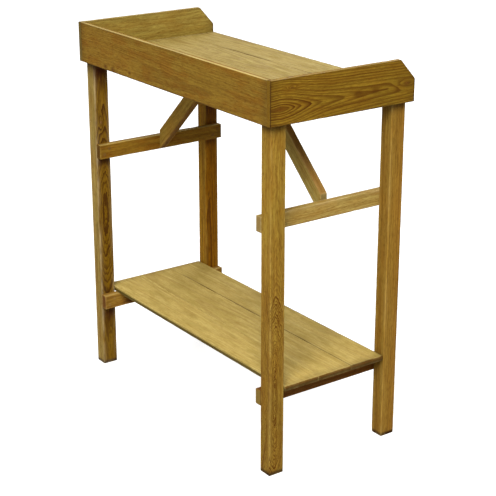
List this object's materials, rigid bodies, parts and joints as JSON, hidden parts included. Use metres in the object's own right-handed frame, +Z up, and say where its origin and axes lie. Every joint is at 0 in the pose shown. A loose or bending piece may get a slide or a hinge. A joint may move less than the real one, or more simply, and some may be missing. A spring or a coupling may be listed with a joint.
{
  "type": "potting bench",
  "caption": "Timber potting bench: worktop inside a low three-sided tray, square legs with side rails, diagonal braces and a slatted lower shelf.",
  "frame": {"origin": "on the floor under the middle of the bench", "axes": "+X along the length towards the right end, +Y towards the open working side where a person stands, +Z up"},
  "size_m": [0.78, 0.385, 0.89],
  "materials": {
    "wall_timber": "pressure-treated pine, matt",
    "worktop_timber": "pressure-treated pine, matt",
    "leg_timber": "pressure-treated pine, matt",
    "lath_timber": "pressure-treated pine, matt",
    "shelf_timber": "pressure-treated pine, matt",
    "batten_timber": "pressure-treated pine, matt",
    "screw_steel": "yellow zinc plated"
  },
  "bodies": {
    "root": {"back_board": "wall_timber", "end_panel_left": "wall_timber", "end_panel_right": "wall_timber", "worktop_board_1": "worktop_timber", "worktop_board_2": "worktop_timber", "worktop_board_3": "worktop_timber", "worktop_board_4": "worktop_timber", "leg_back_left": "leg_timber", "leg_back_right": "leg_timber", "leg_front_left": "leg_timber", "leg_front_right": "leg_timber", "upper_rail_left": "lath_timber", "upper_rail_right": "lath_timber", "lower_rail_left": "lath_timber", "lower_rail_right": "lath_timber", "brace_left": "lath_timber", "brace_right": "lath_timber", "shelf_board_1": "shelf_timber", "shelf_board_2": "shelf_timber", "shelf_board_3": "shelf_timber", "back_cleat": "batten_timber", "end_cleat_left": "batten_timber", "end_cleat_right": "batten_timber", "worktop_batten_left": "batten_timber", "worktop_batten_right": "batten_timber", "upper_rail_screws": "screw_steel", "lower_rail_screws": "screw_steel", "leg_screws": "screw_steel", "cleat_screws": "screw_steel", "worktop_screws": "screw_steel", "brace_screws": "screw_steel", "shelf_pins": "screw_steel"}
  },
  "joints": []
}
